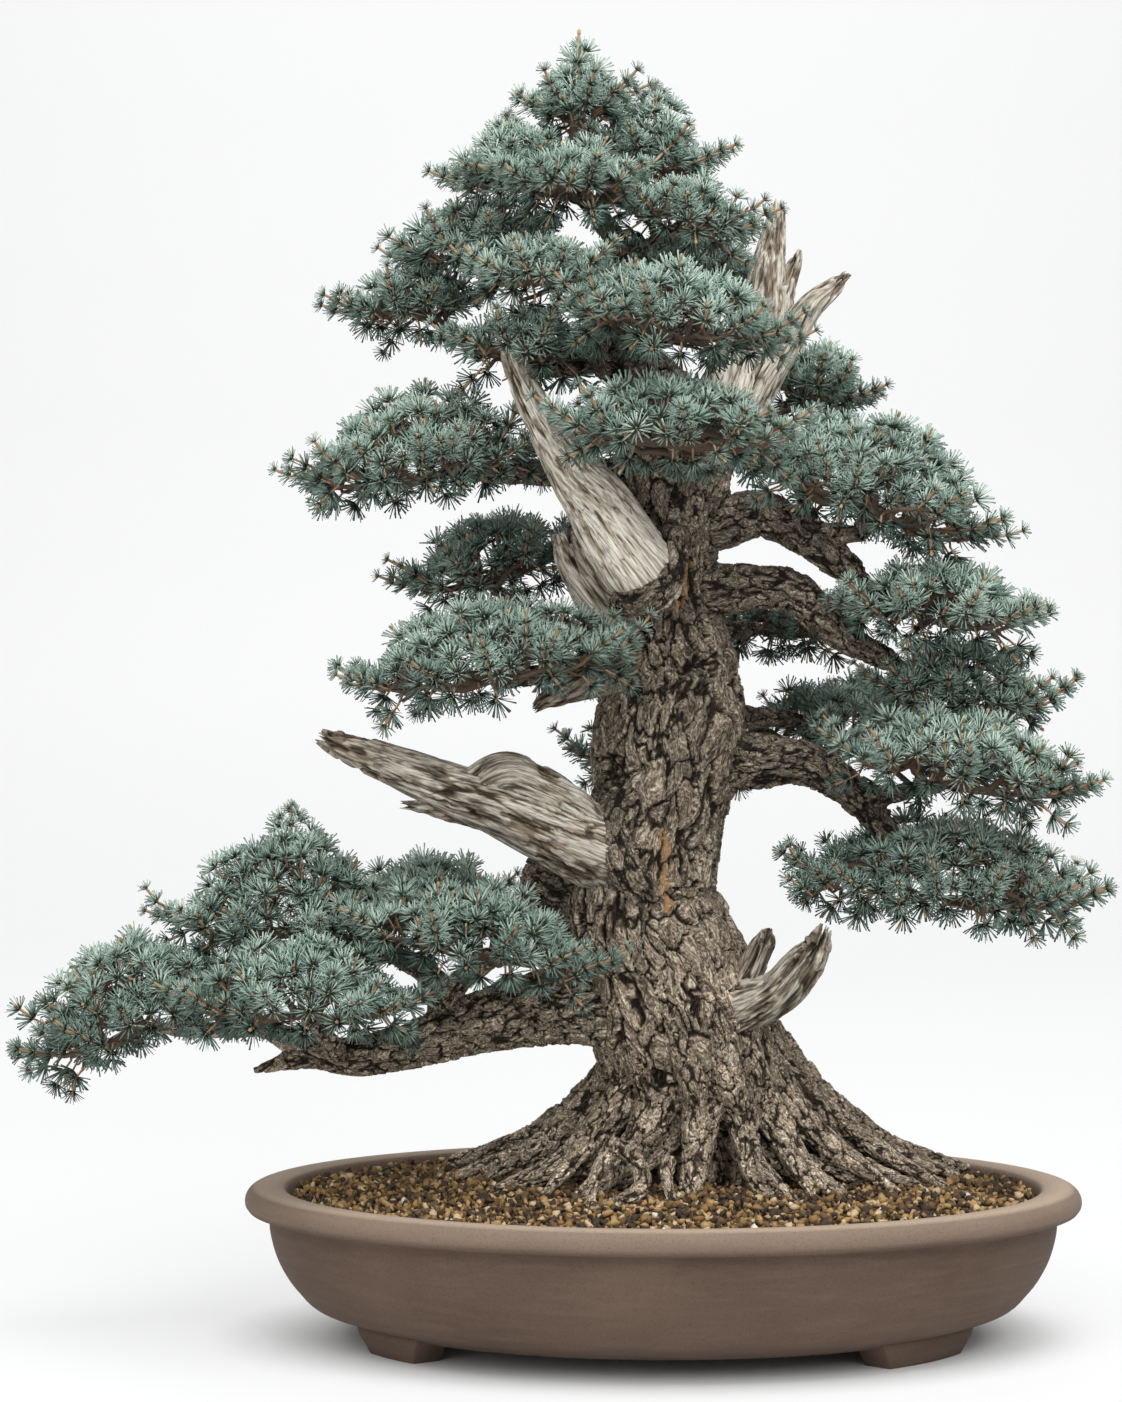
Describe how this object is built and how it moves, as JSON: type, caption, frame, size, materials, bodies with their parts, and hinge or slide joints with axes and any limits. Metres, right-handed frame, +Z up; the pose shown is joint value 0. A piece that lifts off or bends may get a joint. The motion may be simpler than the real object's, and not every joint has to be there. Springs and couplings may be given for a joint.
{
  "type": "atlas cedar bonsai",
  "caption": "Old blue cedar bonsai: thick S-curved trunk, flared roots, bare dead limbs and layered pads of short needles, in an oval clay pot on low feet.",
  "frame": {"origin": "on the surface that the pot stands on, under the middle of the whole plant", "axes": "+Z up, -Y towards the front of the tree, +X to the viewer's right"},
  "size_m": [0.6999, 0.412, 0.86],
  "materials": {
    "clay": "matte unglazed",
    "soil": "granular",
    "bark": "furrowed bark",
    "deadwood": "bleached grain",
    "needles": "waxy blue-green"
  },
  "bodies": {
    "root": {"bough_back_left_low": "bark", "bough_back_low": "bark", "bough_back_mid": "bark", "bough_back_right": "bark", "bough_back_right_low": "bark", "bough_front_centre": "bark", "bough_front_upper": "bark", "bough_left_back": "bark", "bough_left_low": "bark", "bough_left_mid": "bark", "bough_left_upper": "bark", "bough_low_left": "bark", "bough_low_left_fork": "bark", "bough_low_left_riser": "bark", "bough_right_back": "bark", "bough_right_low": "bark", "bough_right_low_fork": "bark", "bough_right_mid": "bark", "bough_right_top": "bark", "bough_right_top_fork": "bark", "deadwood_crown_left": "deadwood", "deadwood_crown_right": "deadwood", "deadwood_high_left": "deadwood", "deadwood_high_left_stub": "deadwood", "deadwood_low_left": "deadwood", "deadwood_low_right": "deadwood", "deadwood_stub_left": "deadwood", "foliage_apex": "needles", "foliage_back_high": "needles", "foliage_back_left_low": "needles", "foliage_back_low": "needles", "foliage_back_mid": "needles", "foliage_back_right": "needles", "foliage_back_right_low": "needles", "foliage_centre_front": "needles", "foliage_fourth_left": "needles", "foliage_fourth_low_left": "needles", "foliage_front_upper": "needles", "foliage_left_back": "needles", "foliage_left_low": "needles", "foliage_left_mid": "needles", "foliage_low_left_inner": "needles", "foliage_low_left_peak": "needles", "foliage_low_left_tip": "needles", "foliage_low_left_under": "needles", "foliage_right_back": "needles", "foliage_right_low": "needles", "foliage_right_lower_mid": "needles", "foliage_right_lowest": "needles", "foliage_right_mid": "needles", "foliage_right_top": "needles", "foliage_third_front": "needles", "foliage_third_left": "needles", "foliage_third_right": "needles", "foliage_upper_front": "needles", "foliage_upper_left": "needles", "foliage_upper_right": "needles", "pot": "clay", "soil": "soil", "trunk": "bark"}
  },
  "joints": []
}
